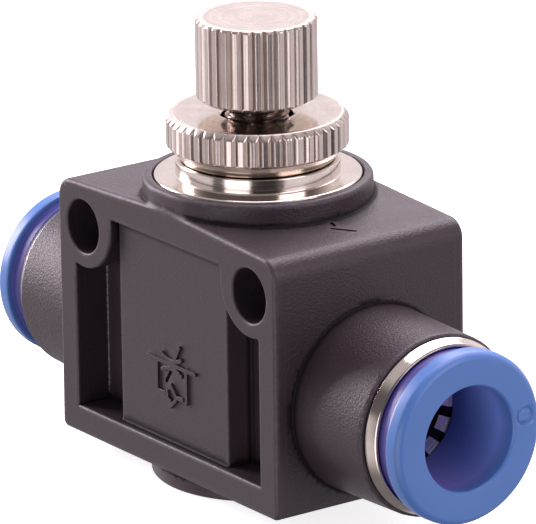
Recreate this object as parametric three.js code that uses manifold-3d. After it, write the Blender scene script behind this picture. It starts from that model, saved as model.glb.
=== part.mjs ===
// In-line one-way flow control valve for compressed air, with a push-in tube port at each end.
// Millimetres. X runs along the tubes, -Y is the front face with the recessed panel, +Z is the knob.
// The origin is the centre of the round foot under the body.
import * as THREE from "three";
import { mergeVertices } from "three/addons/utils/BufferGeometryUtils.js";
import Module from "manifold-3d";

const wasm = await Module();
wasm.setup();

// ---- driving dimensions ----
const TUBE_RADIUS = 4;
const PORT_HEIGHT = 9.5;
const CLEAR = 0.3; // air left between neighbouring solids that touch on the real valve

const BLOCK = {
  halfWidth: 14.4,
  halfDepth: 8.9,
  bottom: 1.35,
  shoulder: PORT_HEIGHT + 12.4,
  ridge: PORT_HEIGHT + 13.05,
  topCorner: 1.4,
  bottomCorner: 0.6,
};
const SCREW_HOLE = { x: 11.05, z: PORT_HEIGHT + 9.0, radius: 2.13 };
const EAR = { z: PORT_HEIGHT + 9.42, radius: 3.76 };
const PANEL = {
  halfWidth: 12.15,
  bottom: PORT_HEIGHT - 5.88,
  top: PORT_HEIGHT + 10.42,
  recess: 0.7,
};
const POCKET = { innerX: 7.13, depth: 2.95 };
const FOOT_RADIUS = 8.6;
const COLLAR = {
  radius: 8.88,
  top: PORT_HEIGHT + 14.45,
  lip: 0.4,
  fillet: 0.3,
  counterbore: 8.15,
  floor: PORT_HEIGHT + 12.4,
};

const NECK = { radius: 7.3, end: 22.7, fillet: 0.4, lip: 0.4 };
const SOCKET = {
  mouthRadius: 6.7,
  mouthEnd: 22.3,
  guideRadius: 5.9,
  guideEnd: 17,
  sealRadius: 5.45,
  sealEnd: 12,
  tubeStop: 9.3,
  tubeRadius: 4.15,
};
const PASSAGE = { radius: 1.5, offset: 2.6 };
const CHAMBER = {
  lowerRadius: 3.6,
  floor: PORT_HEIGHT - 5,
  seatStep: PORT_HEIGHT - 1,
  upperRadius: 5,
  bonnetStep: PORT_HEIGHT + 4.4,
  bonnetRadius: 6.2,
};

const GUIDE = {
  front: 23.85,
  back: 22.95,
  frontRadius: 6.55,
  backRadius: 6.85,
  mouthRadius: 6.3,
  mouthFloor: 23.1,
  webRadius: 6.45,
  webBack: 22.6,
  barrelRadius: 5.6,
  barrelEnd: 17.3,
  boreRadius: 5.3,
  lipRadius: 5.05,
  lipEnd: 21,
};
const RELEASE = {
  face: 26.76,
  flangeBack: 25.2,
  flangeRadius: 6.8,
  round: 0.5,
  hubRadius: 6.15,
  hubBack: 23.75,
  sleeveRadius: 4.9,
  barbRadius: 5.12,
  barbFrom: 20.2,
  barbRise: 0.3,
  nose: 19.15,
  noseTaper: 0.3,
  boreRadius: TUBE_RADIUS + 0.1,
  mouth: 0.3,
};
const GRIP = {
  teeth: 14,
  rimRadius: 5.2,
  rootRadius: 4.75,
  tipRadius: 3.96,
  front: 18.62,
  thickness: 0.35,
  slotWidth: 0.7,
  slotRoot: 4.65,
};
const COLLET = { front: 17.9, back: 16.3, radius: 5.1, boreRadius: 4.2, coneRadius: 4.9, boreFront: 16.8 };
const SEAL = {
  front: 16,
  back: 12.3,
  radius: 5.2,
  boreRadius: 3.95,
  lipRadius: 4.15,
  lipLength: 0.5,
  grooveFrom: 4.35,
  grooveTo: 4.85,
  grooveTaper: 0.1,
  grooveFloor: 13.9,
};

const BONNET = {
  flangeRadius: 7.9,
  flangeBottom: PORT_HEIGHT + 12.7,
  flangeTop: PORT_HEIGHT + 14.5,
  flangeRound: 0.35,
  bossRadius: 6.35,
  bossTop: PORT_HEIGHT + 15.5,
  barrelRadius: 5.9,
  barrelBottom: PORT_HEIGHT + 4.7,
  grooveRadius: 4.9,
  grooveFrom: PORT_HEIGHT + 7.2,
  grooveTo: PORT_HEIGHT + 9.2,
  boreRadius: 3.2,
  threadFrom: PORT_HEIGHT + 11.8,
};
const NEEDLE = {
  stemRadius: 2.5,
  stemTop: PORT_HEIGHT + 25.2,
  pistonRadius: 3.1,
  pistonFrom: PORT_HEIGHT + 5.2,
  pistonTo: PORT_HEIGHT + 8.2,
  grooveRadius: 2.3,
  grooveFrom: PORT_HEIGHT + 6,
  grooveTo: PORT_HEIGHT + 7.5,
  tipRadius: 1.65,
  tipFrom: PORT_HEIGHT + 3.2,
  tipEnd: PORT_HEIGHT - 0.9,
  pointRadius: 0.5,
};
const STEM_BORE = NEEDLE.stemRadius + CLEAR;
const BONNET_SEAL = {
  inner: BONNET.grooveRadius + 0.05,
  outer: CHAMBER.bonnetRadius - 0.05,
  height: (BONNET.grooveFrom + BONNET.grooveTo) / 2,
};
const NEEDLE_SEAL = {
  inner: NEEDLE.grooveRadius + 0.05,
  outer: BONNET.boreRadius - 0.02,
  height: (NEEDLE.grooveFrom + NEEDLE.grooveTo) / 2,
};
const KNOB = {
  teeth: 32,
  radius: 4.7,
  toothDepth: 0.3,
  bottom: PORT_HEIGHT + 20.4,
  top: PORT_HEIGHT + 26.83,
  topRadius: 4.52,
  topChamfer: 0.2,
  bottomRadius: 4.3,
  bottomChamfer: 0.3,
};
const NUT = {
  teeth: 47,
  radius: 7.06,
  toothDepth: 0.3,
  bottom: PORT_HEIGHT + 15.8,
  shoulderRadius: 6,
  coneRadius: 6.5,
  knurlFrom: PORT_HEIGHT + 16.8,
  top: PORT_HEIGHT + 19.33,
  topRadius: 6.66,
  topChamfer: 0.55,
};
const SEAT = {
  radius: 4.7,
  bottom: PORT_HEIGHT - 0.7,
  top: PORT_HEIGHT + 1.4,
  grooveRadius: 3.2,
  grooveFrom: PORT_HEIGHT - 0.3,
  grooveTo: PORT_HEIGHT + 0.9,
  orificeRadius: 1.8,
};
const CHECK_LIP = {
  innerRadius: 3.4,
  heelRadius: 4.1,
  lipRadius: 4.95,
  web: 0.3,
  bottom: PORT_HEIGHT - 0.1,
  lipTop: PORT_HEIGHT + 0.7,
  heelTop: PORT_HEIGHT + 0.6,
};

const KNURL_LAND = 0.56; // share of each tooth's pitch that keeps the full radius

const FINE = 36; // sides of the large visible rounds
const COARSE = 24; // sides of the inner rounds
const CORNER_STEPS = 4;

// ---- materials ----
function material(color, roughness, metalness) {
  return new THREE.MeshStandardMaterial({ color, roughness, metalness });
}
const BLACK_PLASTIC = material(0x2b272b, 0.55, 0);
const NICKEL = material(0xd8cfc4, 0.2, 1);
const BLUE_PLASTIC = material(0x2f5fb0, 0.4, 0);
const STAINLESS = material(0xc9c9c9, 0.3, 1);
const BRASS = material(0xc8a862, 0.3, 1);
const BLACK_ACETAL = material(0x2a2a2c, 0.45, 0);
const NITRILE = material(0x1c1c1c, 0.8, 0);

// ---- solids ----
function solidFrom(geometry) {
  const bare = geometry.clone();
  bare.deleteAttribute("normal");
  bare.deleteAttribute("uv");
  const merged = mergeVertices(bare, 1e-4);
  const vertProperties = new Float32Array(merged.attributes.position.array);
  const triVerts = new Uint32Array(merged.index.array);
  return new wasm.Manifold(new wasm.Mesh({ numProp: 3, vertProperties, triVerts }));
}

function geometryFrom(solid) {
  const { vertProperties, triVerts } = solid.getMesh();
  const geometry = new THREE.BufferGeometry();
  geometry.setAttribute("position", new THREE.BufferAttribute(vertProperties, 3));
  geometry.setIndex(new THREE.BufferAttribute(triVerts, 1));
  geometry.computeVertexNormals();
  return geometry;
}

function meshOf(name, solid, surface) {
  const mesh = new THREE.Mesh(geometryFrom(solid), surface);
  mesh.name = name;
  return mesh;
}

const signedArea = (points) =>
  points.reduce((sum, [x, y], i) => {
    const [nextX, nextY] = points[(i + 1) % points.length];
    return sum + (x * nextY - nextX * y) / 2;
  }, 0);

// A ring or a solid of revolution about the local Y axis, from [radius, height] points.
function turned(points, sides) {
  const ordered = signedArea(points) > 0 ? points : [...points].reverse();
  const path = ordered.map(([radius, height]) => new THREE.Vector2(radius, height));
  path.push(path[0].clone());
  return new THREE.LatheGeometry(path, sides);
}

// The same, standing on +Z.
function turnedZ(points, sides = COARSE) {
  return solidFrom(turned(points, sides).rotateX(Math.PI / 2));
}

// The same, lying along +X at the height of the tube ports.
function turnedX(points, sides = COARSE) {
  return solidFrom(turned(points, sides).rotateZ(-Math.PI / 2).translate(0, 0, PORT_HEIGHT));
}

function outline(points) {
  return new THREE.Shape(points.map(([x, y]) => new THREE.Vector2(x, y)));
}

function rectangle(left, right, low, high) {
  return outline([[left, low], [right, low], [right, high], [left, high]]);
}

// An outline in X and Z pushed through the depth from one Y to another.
function slab(shape, fromY, toY) {
  const geometry = new THREE.ExtrudeGeometry(shape, { depth: toY - fromY, bevelEnabled: false });
  return solidFrom(geometry.rotateX(Math.PI / 2).translate(0, toY, 0));
}

function arcPoints(x, y, radius, from, to, steps) {
  return Array.from({ length: steps + 1 }, (_, i) => {
    const angle = from + ((to - from) * i) / steps;
    return [x + radius * Math.cos(angle), y + radius * Math.sin(angle)];
  });
}

// A round bar along Z with V grooves down its side, between two heights.
function knurledBar(radius, depth, teeth, bottom, top) {
  const pitch = (2 * Math.PI) / teeth;
  const points = [];
  const tooth = [[-KNURL_LAND / 2, radius], [KNURL_LAND / 2, radius], [0.5, radius - depth]];
  for (let i = 0; i < teeth; i++) {
    for (const [share, r] of tooth) {
      const angle = (i + share) * pitch;
      points.push([r * Math.cos(angle), r * Math.sin(angle)]);
    }
  }
  const geometry = new THREE.ExtrudeGeometry(outline(points), { depth: top - bottom, bevelEnabled: false });
  return solidFrom(geometry.translate(0, 0, bottom));
}

function mirroredX(solid) {
  return solid.mirror([1, 0, 0]);
}

// ---- body ----
function blockSolid() {
  const { halfWidth, halfDepth, bottom, shoulder, ridge, topCorner, bottomCorner } = BLOCK;
  const half = [
    ...arcPoints(halfWidth - bottomCorner, bottom + bottomCorner, bottomCorner, -Math.PI / 2, 0, 2),
    ...arcPoints(halfWidth - topCorner, shoulder - topCorner, topCorner, 0, Math.PI / 2, CORNER_STEPS),
  ];
  const other = half.map(([x, z]) => [-x, z]).reverse();
  return slab(outline([...half, [0, ridge], ...other]), -halfDepth, halfDepth);
}

// What is moulded away from the front: a shallow panel, and a deep pocket on each side of it.
function frontRecess() {
  const { halfWidth, bottom, top, recess } = PANEL;
  const front = -BLOCK.halfDepth - 1;
  let cut = slab(rectangle(-halfWidth, halfWidth, bottom, top), front, -BLOCK.halfDepth + recess);
  for (const side of [-1, 1]) {
    const [low, high] = [side * POCKET.innerX, side * halfWidth].sort((a, b) => a - b);
    cut = cut.add(slab(rectangle(low, high, bottom, top), front, -BLOCK.halfDepth + POCKET.depth));
  }
  for (const side of [-1, 1]) {
    cut = cut.subtract(earSolid(side));
  }
  return cut;
}

// The boss that carries a screw hole through the depth, with a web to the corner of the block.
function earSolid(side) {
  const { radius, z } = EAR;
  const x = SCREW_HOLE.x;
  const cornerX = x + radius;
  const corner = z + radius;
  const round = arcPoints(x, z, radius, Math.PI, 2 * Math.PI, 12);
  const points = [...round, [cornerX, corner], [x - radius, corner]].map(([px, pz]) => [side * px, pz]);
  return slab(outline(side < 0 ? points.reverse() : points), -BLOCK.halfDepth - 2, BLOCK.halfDepth + 2);
}

function neckSolid() {
  const { radius, end, fillet, lip } = NECK;
  const start = BLOCK.halfWidth - 0.4;
  const flareRadius = radius + fillet;
  const flare = arcPoints(flareRadius, BLOCK.halfWidth + fillet, fillet, -Math.PI / 2, -Math.PI, 4);
  const edge = arcPoints(radius - lip, end - lip, lip, 0, Math.PI / 2, 4);
  return turnedX([[0, start], [flareRadius, start], ...flare, ...edge, [0, end]], FINE);
}

function socketCut() {
  const { mouthRadius, mouthEnd, guideRadius, guideEnd, sealRadius, sealEnd, tubeStop, tubeRadius } = SOCKET;
  const beyond = NECK.end + 1;
  return turnedX([
    [0, tubeStop],
    [tubeRadius, tubeStop],
    [tubeRadius, sealEnd],
    [sealRadius, sealEnd],
    [sealRadius, guideEnd],
    [guideRadius, guideEnd],
    [guideRadius, mouthEnd],
    [mouthRadius, mouthEnd],
    [mouthRadius, beyond],
    [0, beyond],
  ], FINE);
}

// A drilling from a tube stop to the chamber, offset up or down from the tube's axis.
function passageCut(side, offset) {
  const inside = 2;
  const outside = SOCKET.tubeStop + 0.5;
  const hole = turnedX([[0, inside], [PASSAGE.radius, inside], [PASSAGE.radius, outside], [0, outside]], 16);
  const placed = side < 0 ? mirroredX(hole) : hole;
  return placed.translate([0, 0, offset]);
}

function collarSolid() {
  const { radius, top, lip, fillet } = COLLAR;
  const base = BLOCK.shoulder - 1;
  const seat = BLOCK.ridge;
  const flare = arcPoints(radius + fillet, seat + fillet, fillet, -Math.PI / 2, -Math.PI, 4);
  const edge = arcPoints(radius - lip, top - lip, lip, 0, Math.PI / 2, 4);
  const ring = turnedZ([[0, base], [radius + fillet, base], ...flare, ...edge, [0, top]], FINE);
  const reach = BLOCK.halfWidth;
  return ring.intersect(slab(rectangle(-reach, reach, base, top + 1), -BLOCK.halfDepth, BLOCK.halfDepth));
}

function chamberCut() {
  const { lowerRadius, floor, seatStep, upperRadius, bonnetStep, bonnetRadius } = CHAMBER;
  const beyond = COLLAR.top + 1;
  return turnedZ([
    [0, floor],
    [lowerRadius, floor],
    [lowerRadius, seatStep],
    [upperRadius, seatStep],
    [upperRadius, bonnetStep],
    [bonnetRadius, bonnetStep],
    [bonnetRadius, COLLAR.floor],
    [COLLAR.counterbore, COLLAR.floor],
    [COLLAR.counterbore, beyond],
    [0, beyond],
  ], FINE);
}

function screwHoleCut(side) {
  const hole = new THREE.CylinderGeometry(SCREW_HOLE.radius, SCREW_HOLE.radius, 2 * BLOCK.halfDepth + 4, 24);
  return solidFrom(hole.translate(side * SCREW_HOLE.x, 0, SCREW_HOLE.z));
}

function body() {
  const footTop = BLOCK.bottom + 1;
  const foot = turnedZ([[0, 0], [FOOT_RADIUS, 0], [FOOT_RADIUS, footTop], [0, footTop]], FINE);
  const recess = frontRecess();
  const neck = neckSolid();
  const socket = socketCut();
  const solid = blockSolid()
    .subtract(recess)
    .subtract(recess.mirror([0, 1, 0]))
    .add(foot)
    .add(collarSolid())
    .add(neck)
    .add(mirroredX(neck))
    .subtract(socket)
    .subtract(mirroredX(socket))
    .subtract(chamberCut())
    .subtract(passageCut(-1, -PASSAGE.offset))
    .subtract(passageCut(1, PASSAGE.offset))
    .subtract(screwHoleCut(-1))
    .subtract(screwHoleCut(1));
  return meshOf("body", solid, BLACK_PLASTIC);
}

// ---- push-in port: built for the right end and mirrored for the left ----
function guideSleeve() {
  const g = GUIDE;
  return turnedX([
    [g.backRadius, g.back],
    [g.frontRadius, g.front],
    [g.mouthRadius, g.front],
    [g.mouthRadius, g.mouthFloor],
    [g.lipRadius, g.mouthFloor],
    [g.lipRadius, g.lipEnd],
    [g.boreRadius, g.lipEnd],
    [g.boreRadius, g.barrelEnd],
    [g.barrelRadius, g.barrelEnd],
    [g.barrelRadius, g.webBack],
    [g.webRadius, g.webBack],
    [g.webRadius, g.back],
  ], FINE);
}

function releaseRing() {
  const r = RELEASE;
  const rim = arcPoints(r.flangeRadius - r.round, r.face - r.round, r.round, 0, Math.PI / 2, 3);
  return turnedX([
    [r.boreRadius, r.nose],
    [r.sleeveRadius - r.noseTaper, r.nose],
    [r.barbRadius, r.barbFrom - r.barbRise],
    [r.barbRadius, r.barbFrom],
    [r.sleeveRadius, r.barbFrom + r.barbRise],
    [r.sleeveRadius, r.hubBack],
    [r.hubRadius, r.hubBack],
    [r.hubRadius, r.flangeBack],
    [r.flangeRadius, r.flangeBack],
    ...rim,
    [r.boreRadius + r.mouth, r.face],
    [r.boreRadius, r.face - r.mouth],
  ], FINE);
}

// A dished stainless washer whose inner edge is cut into teeth that lean into the port.
function gripRing() {
  const { teeth, rimRadius, rootRadius, tipRadius, front, thickness, slotWidth, slotRoot } = GRIP;
  const lean = rootRadius - tipRadius;
  const slotDepth = 2 * (lean + thickness) + 1;
  const dish = turnedX([
    [rimRadius, front],
    [rootRadius, front],
    [tipRadius, front - lean],
    [tipRadius, front - lean - thickness],
    [rootRadius, front - thickness],
    [rimRadius, front - thickness],
  ], COARSE);
  let slots = null;
  for (let i = 0; i < teeth; i++) {
    const slot = new THREE.BoxGeometry(slotDepth, slotWidth, slotRoot);
    slot.translate(front - lean, 0, slotRoot / 2);
    slot.rotateX(((i + 0.5) * 2 * Math.PI) / teeth);
    slot.translate(0, 0, PORT_HEIGHT);
    const cut = solidFrom(slot);
    slots = slots ? slots.add(cut) : cut;
  }
  return dish.subtract(slots);
}

function colletRing() {
  const { front, back, radius, boreRadius, coneRadius, boreFront } = COLLET;
  return turnedX([
    [radius, back],
    [radius, front],
    [coneRadius, front],
    [boreRadius, boreFront],
    [boreRadius, back],
  ]);
}

// A lip packing: its open side faces the pressure inside the valve.
function tubeSeal() {
  const s = SEAL;
  return turnedX([
    [s.lipRadius, s.back],
    [s.boreRadius, s.back + s.lipLength],
    [s.lipRadius, s.front],
    [s.radius, s.front],
    [s.radius, s.back],
    [s.grooveTo, s.back],
    [s.grooveTo - s.grooveTaper, s.grooveFloor],
    [s.grooveFrom + s.grooveTaper, s.grooveFloor],
    [s.grooveFrom, s.back],
  ]);
}

function port(prefix, side) {
  const pieces = [
    ["guide_sleeve", guideSleeve(), NICKEL],
    ["release_ring", releaseRing(), BLUE_PLASTIC],
    ["grip_ring", gripRing(), STAINLESS],
    ["collet_ring", colletRing(), BLACK_ACETAL],
    ["tube_seal", tubeSeal(), NITRILE],
  ];
  const group = new THREE.Group();
  for (const [name, solid, surface] of pieces) {
    group.add(meshOf(prefix + name, side < 0 ? mirroredX(solid) : solid, surface));
  }
  return group;
}

// ---- needle and bonnet ----
function bonnet() {
  const b = BONNET;
  const solid = turnedZ([
    [b.boreRadius, b.barrelBottom],
    [b.barrelRadius, b.barrelBottom],
    [b.barrelRadius, b.grooveFrom],
    [b.grooveRadius, b.grooveFrom],
    [b.grooveRadius, b.grooveTo],
    [b.barrelRadius, b.grooveTo],
    [b.barrelRadius, b.flangeBottom],
    [b.flangeRadius, b.flangeBottom],
    [b.flangeRadius, b.flangeTop - b.flangeRound],
    [b.flangeRadius - b.flangeRound, b.flangeTop],
    [b.bossRadius, b.flangeTop],
    [b.bossRadius, b.bossTop],
    [STEM_BORE, b.bossTop],
    [STEM_BORE, b.threadFrom],
    [b.boreRadius, b.threadFrom],
  ], FINE);
  return meshOf("bonnet", solid, NICKEL);
}

// A seal of round section in the groove between two radii.
function ringSeal(name, { inner, outer, height }) {
  const section = (outer - inner) / 2;
  const centre = (outer + inner) / 2;
  const points = arcPoints(centre, height, section, 0, 2 * Math.PI, 8).slice(0, -1);
  return meshOf(name, turnedZ(points, COARSE), NITRILE);
}

function needle() {
  const n = NEEDLE;
  const solid = turnedZ([
    [0, n.tipEnd],
    [n.pointRadius, n.tipEnd],
    [n.tipRadius, n.tipFrom],
    [n.pistonRadius, n.pistonFrom],
    [n.pistonRadius, n.grooveFrom],
    [n.grooveRadius, n.grooveFrom],
    [n.grooveRadius, n.grooveTo],
    [n.pistonRadius, n.grooveTo],
    [n.pistonRadius, n.pistonTo],
    [n.stemRadius, n.pistonTo + 0.6],
    [n.stemRadius, n.stemTop],
    [0, n.stemTop],
  ]);
  return meshOf("needle", solid, BRASS);
}

function knob() {
  const k = KNOB;
  const socketTop = NEEDLE.stemTop + CLEAR;
  const envelope = turnedZ([
    [0, k.bottom],
    [k.bottomRadius, k.bottom],
    [k.radius + 0.1, k.bottom + k.bottomChamfer],
    [k.radius + 0.1, k.top - k.topChamfer],
    [k.topRadius, k.top],
    [0, k.top],
  ], FINE);
  const socket = turnedZ([
    [0, k.bottom - 1],
    [STEM_BORE, k.bottom - 1],
    [STEM_BORE, socketTop],
    [0, socketTop],
  ]);
  const bar = knurledBar(k.radius, k.toothDepth, k.teeth, k.bottom, k.top);
  return meshOf("knob", bar.intersect(envelope).subtract(socket), NICKEL);
}

function lockNut() {
  const n = NUT;
  const envelope = turnedZ([
    [STEM_BORE, n.bottom],
    [n.shoulderRadius, n.bottom],
    [n.coneRadius, n.knurlFrom],
    [n.radius + 0.1, n.knurlFrom + 0.4],
    [n.radius + 0.1, n.top - n.topChamfer],
    [n.topRadius, n.top],
    [STEM_BORE, n.top],
  ], FINE);
  const bar = knurledBar(n.radius, n.toothDepth, n.teeth, n.bottom, n.top);
  return meshOf("lock_nut", bar.intersect(envelope), NICKEL);
}

// ---- one-way seat ----
function valveSeat() {
  const s = SEAT;
  const solid = turnedZ([
    [s.orificeRadius, s.bottom],
    [s.radius, s.bottom],
    [s.radius, s.grooveFrom],
    [s.grooveRadius, s.grooveFrom],
    [s.grooveRadius, s.grooveTo],
    [s.radius, s.grooveTo],
    [s.radius, s.top],
    [s.orificeRadius, s.top],
  ]);
  return meshOf("valve_seat", solid, BRASS);
}

// A lip that lies against the chamber wall one way and folds in to pass air the other way.
function checkSeal() {
  const { innerRadius, heelRadius, lipRadius, web, bottom, lipTop, heelTop } = CHECK_LIP;
  const solid = turnedZ([
    [innerRadius, bottom],
    [heelRadius, bottom],
    [lipRadius - web, lipTop],
    [heelRadius - web, bottom + web],
    [innerRadius + web, heelTop],
    [innerRadius, heelTop],
  ]);
  return meshOf("check_seal", solid, NITRILE);
}

// ---- the valve ----
const valve = new THREE.Group();
valve.name = "flow_control_valve";
valve.add(body());
valve.add(bonnet());
valve.add(ringSeal("bonnet_seal", BONNET_SEAL));
valve.add(needle());
valve.add(ringSeal("needle_seal", NEEDLE_SEAL));
valve.add(knob());
valve.add(lockNut());
valve.add(valveSeat());
valve.add(checkSeal());
valve.add(port("right_", 1));
valve.add(port("left_", -1));

export default valve;
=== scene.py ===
# In-line push-in flow control valve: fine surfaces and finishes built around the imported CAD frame.
# Shape code works in millimetres in the frame's own axes; meshes are written in metres.
import functools
import math

import bmesh
import bpy
import numpy as np
import openvdb
from mathutils import Matrix, Vector


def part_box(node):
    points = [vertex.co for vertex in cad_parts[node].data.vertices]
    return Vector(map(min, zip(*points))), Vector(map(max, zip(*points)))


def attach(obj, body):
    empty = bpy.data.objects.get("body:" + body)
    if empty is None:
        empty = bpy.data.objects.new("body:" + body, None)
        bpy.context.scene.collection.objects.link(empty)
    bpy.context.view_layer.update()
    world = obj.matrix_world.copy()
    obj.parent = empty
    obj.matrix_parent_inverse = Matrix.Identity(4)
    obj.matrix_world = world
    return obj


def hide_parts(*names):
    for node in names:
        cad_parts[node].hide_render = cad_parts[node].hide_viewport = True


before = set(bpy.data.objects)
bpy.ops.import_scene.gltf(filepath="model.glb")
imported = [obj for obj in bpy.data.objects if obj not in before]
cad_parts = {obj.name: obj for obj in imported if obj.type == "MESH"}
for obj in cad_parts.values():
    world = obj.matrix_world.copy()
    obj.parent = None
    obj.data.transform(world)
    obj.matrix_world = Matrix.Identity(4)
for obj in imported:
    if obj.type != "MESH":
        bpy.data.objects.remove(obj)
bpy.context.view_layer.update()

MM = 0.001
TAU = 2 * math.pi


def span(node):
    """Lowest and highest corner of a CAD node, in millimetres."""
    low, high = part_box(node)
    return np.array(low) / MM, np.array(high) / MM


def heights(node):
    """How low and how high a CAD node reaches, in millimetres."""
    low, high = span(node)
    return float(low[2]), float(high[2])


BODY_LOW, BODY_HIGH = span("body")
KNOB_BOTTOM, KNOB_TOP = heights("knob")
NUT_TOP = heights("lock_nut")[1]
BONNET_BOTTOM = heights("bonnet")[0]
NEEDLE_TIP, NEEDLE_TOP = heights("needle")
RING_FACE = float(span("right_release_ring")[1][0])
PORT = sum(heights("right_release_ring")) / 2  # height of the tubes' axis above the floor


# ---- signed distances ----
def rounded_union(a, b, r):
    return np.maximum(r, np.minimum(a, b)) - np.hypot(np.maximum(r - a, 0), np.maximum(r - b, 0))


def rounded_overlap(a, b, r):
    return np.minimum(-r, np.maximum(a, b)) + np.hypot(np.maximum(r + a, 0), np.maximum(r + b, 0))


def rounded_cut(a, b, r):
    return rounded_overlap(a, -b, r)


def segment_distance(x, z, start, end):
    dx, dz = end[0] - start[0], end[1] - start[1]
    share = np.clip(((x - start[0]) * dx + (z - start[1]) * dz) / (dx * dx + dz * dz), 0, 1)
    return np.hypot(x - start[0] - share * dx, z - start[1] - share * dz)


# ---- moulded body ----
HALF_DEPTH = float(BODY_HIGH[1])
HALF_WIDTH = 14.4
NECK_END = float(BODY_HIGH[0])
BLOCK_BOTTOM = 1.35
BOTTOM_ROUND = 0.6
ROOF_RIDGE = PORT + 13.05
ROOF_SLOPE = 0.05
ROOF_ROUND = 1.4
EDGE_ROUND = 0.32
HOLE_X = 11.05
HOLE_Z = PORT + 9.0
HOLE_RADIUS = 2.13
EAR_Z = PORT + 9.42
EAR_RADIUS = 3.76
RECESS_X = 12.15
RECESS_LOW = PORT - 5.88
RECESS_HIGH = PORT + 10.42
RECESS_ROUND = 0.2
PANEL_X = 7.13
PANEL_DEPTH = 0.7
PANEL_ROUND = 0.15
POCKET_DEPTH = 2.95
POCKET_FILLET = 0.3
WALL_FILLET = 0.22
EAR_FILLET = 0.25
COLLAR_RADIUS = 8.88
COLLAR_TOP = float(BODY_HIGH[2])
COLLAR_ROOT = PORT + 11
COLLAR_LIP = 0.38
COLLAR_FILLET = 0.3
NECK_RADIUS = 7.3
NECK_FILLET = 0.2
NECK_LIP = 0.24
NECK_ROOT = HALF_WIDTH - 0.4
NECK_TAPER = 0.028  # radius lost per millimetre of length
TAPER_START = HALF_WIDTH + 3
FOOT_RADIUS = 8.6
FOOT_TOP = BLOCK_BOTTOM + 1
FOOT_ROUND = 0.35
FOOT_FILLET = 0.2
HOLE_ROUND = 0.16
BORE_ROUND = 0.1

BODY_VOXEL = 0.11
MARK_VOXEL = 0.045


def block_distance(x, y, z):
    roof = (z - ROOF_RIDGE + ROOF_SLOPE * np.abs(x)) / math.hypot(1, ROOF_SLOPE)
    side = np.abs(x) - HALF_WIDTH
    outline = rounded_overlap(roof, side, ROOF_ROUND)
    outline = rounded_overlap(outline, BLOCK_BOTTOM - z, BOTTOM_ROUND)
    collar = rounded_overlap(np.hypot(x, y) - COLLAR_RADIUS, z - COLLAR_TOP, COLLAR_LIP)
    collar = np.maximum(collar, COLLAR_ROOT - z)
    outline = rounded_union(outline, collar, COLLAR_FILLET)
    return rounded_overlap(outline, np.abs(y) - HALF_DEPTH, EDGE_ROUND)


def recess_floor(x, y, z):
    """The material left inside the recess outline: the panel between two deeper pockets, and the ears."""
    ax = np.abs(x)
    inward = np.abs(y) - HALF_DEPTH  # 0 at the face, negative inside
    panel = rounded_overlap(ax - PANEL_X, inward + PANEL_DEPTH, PANEL_ROUND)
    floor = rounded_union(inward + POCKET_DEPTH, panel, POCKET_FILLET)
    ear = np.hypot(ax - HOLE_X, z - EAR_Z) - EAR_RADIUS
    ear = np.minimum(ear, np.maximum(HOLE_X - EAR_RADIUS - ax, EAR_Z - z))
    frame_wall = -np.maximum(ax - RECESS_X, np.maximum(RECESS_LOW - z, z - RECESS_HIGH))
    wall = rounded_union(frame_wall, ear, EAR_FILLET)
    return rounded_union(wall, floor, WALL_FILLET)


def neck_distance(x, y, z):
    ax = np.abs(x)
    around = np.hypot(y, z - PORT)
    side = around - NECK_RADIUS + NECK_TAPER * (ax - TAPER_START)
    neck = rounded_overlap(side, ax - NECK_END, NECK_LIP)
    return np.maximum(neck, NECK_ROOT - ax)


def stepped_bore(around, along, steps):
    """A bore that widens in steps. Each step is its radius and where its floor lies."""
    rooms = [np.maximum(around - radius, floor - along) for radius, floor in steps]
    return functools.reduce(np.minimum, rooms)


def socket_distance(x, y, z):
    """Room for the push-in parts, open at the neck's end."""
    steps = [(6.7, NECK_END - 0.4), (5.9, 17.0), (5.45, 12.0), (4.15, 9.3)]
    return stepped_bore(np.hypot(y, z - PORT), np.abs(x), steps)


def chamber_distance(x, y, z):
    """Room for the bonnet, the seat and the needle, with a drilling to each tube."""
    steps = [(3.6, PORT - 5), (5.0, PORT - 1), (6.2, PORT + 4.4), (8.15, PORT + 12.4)]
    drill_radius, drill_lift, drill_start, drill_end = 1.5, 2.6, 2, 9.8
    room = stepped_bore(np.hypot(x, y), z, steps)
    for side in (-1, 1):
        drill = np.hypot(y, z - PORT - drill_lift * side) - drill_radius
        drill = np.maximum(drill, np.maximum(drill_start - side * x, side * x - drill_end))
        room = np.minimum(room, drill)
    return room


def body_distance(x, y, z):
    d = block_distance(x, y, z)
    d = rounded_overlap(d, recess_floor(x, y, z), RECESS_ROUND)
    d = rounded_union(d, neck_distance(x, y, z), NECK_FILLET)
    foot = rounded_overlap(np.hypot(x, y) - FOOT_RADIUS, -z, FOOT_ROUND)
    foot = np.maximum(foot, z - FOOT_TOP)
    d = rounded_union(d, foot, FOOT_FILLET)
    hole = np.hypot(np.abs(x) - HOLE_X, z - HOLE_Z) - HOLE_RADIUS
    d = rounded_cut(d, hole, HOLE_ROUND)
    d = rounded_cut(d, chamber_distance(x, y, z), BORE_ROUND)
    return rounded_cut(d, socket_distance(x, y, z), BORE_ROUND)


def gradient(distance, points, step=0.01):
    columns = []
    for axis in range(3):
        shift = np.zeros(3)
        shift[axis] = step
        ahead = distance(*(points + shift).T)
        behind = distance(*(points - shift).T)
        columns.append((ahead - behind) / (2 * step))
    return np.stack(columns, axis=1)


def unit(vectors):
    return vectors / np.maximum(np.linalg.norm(vectors, axis=1, keepdims=True), 1e-9)


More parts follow.
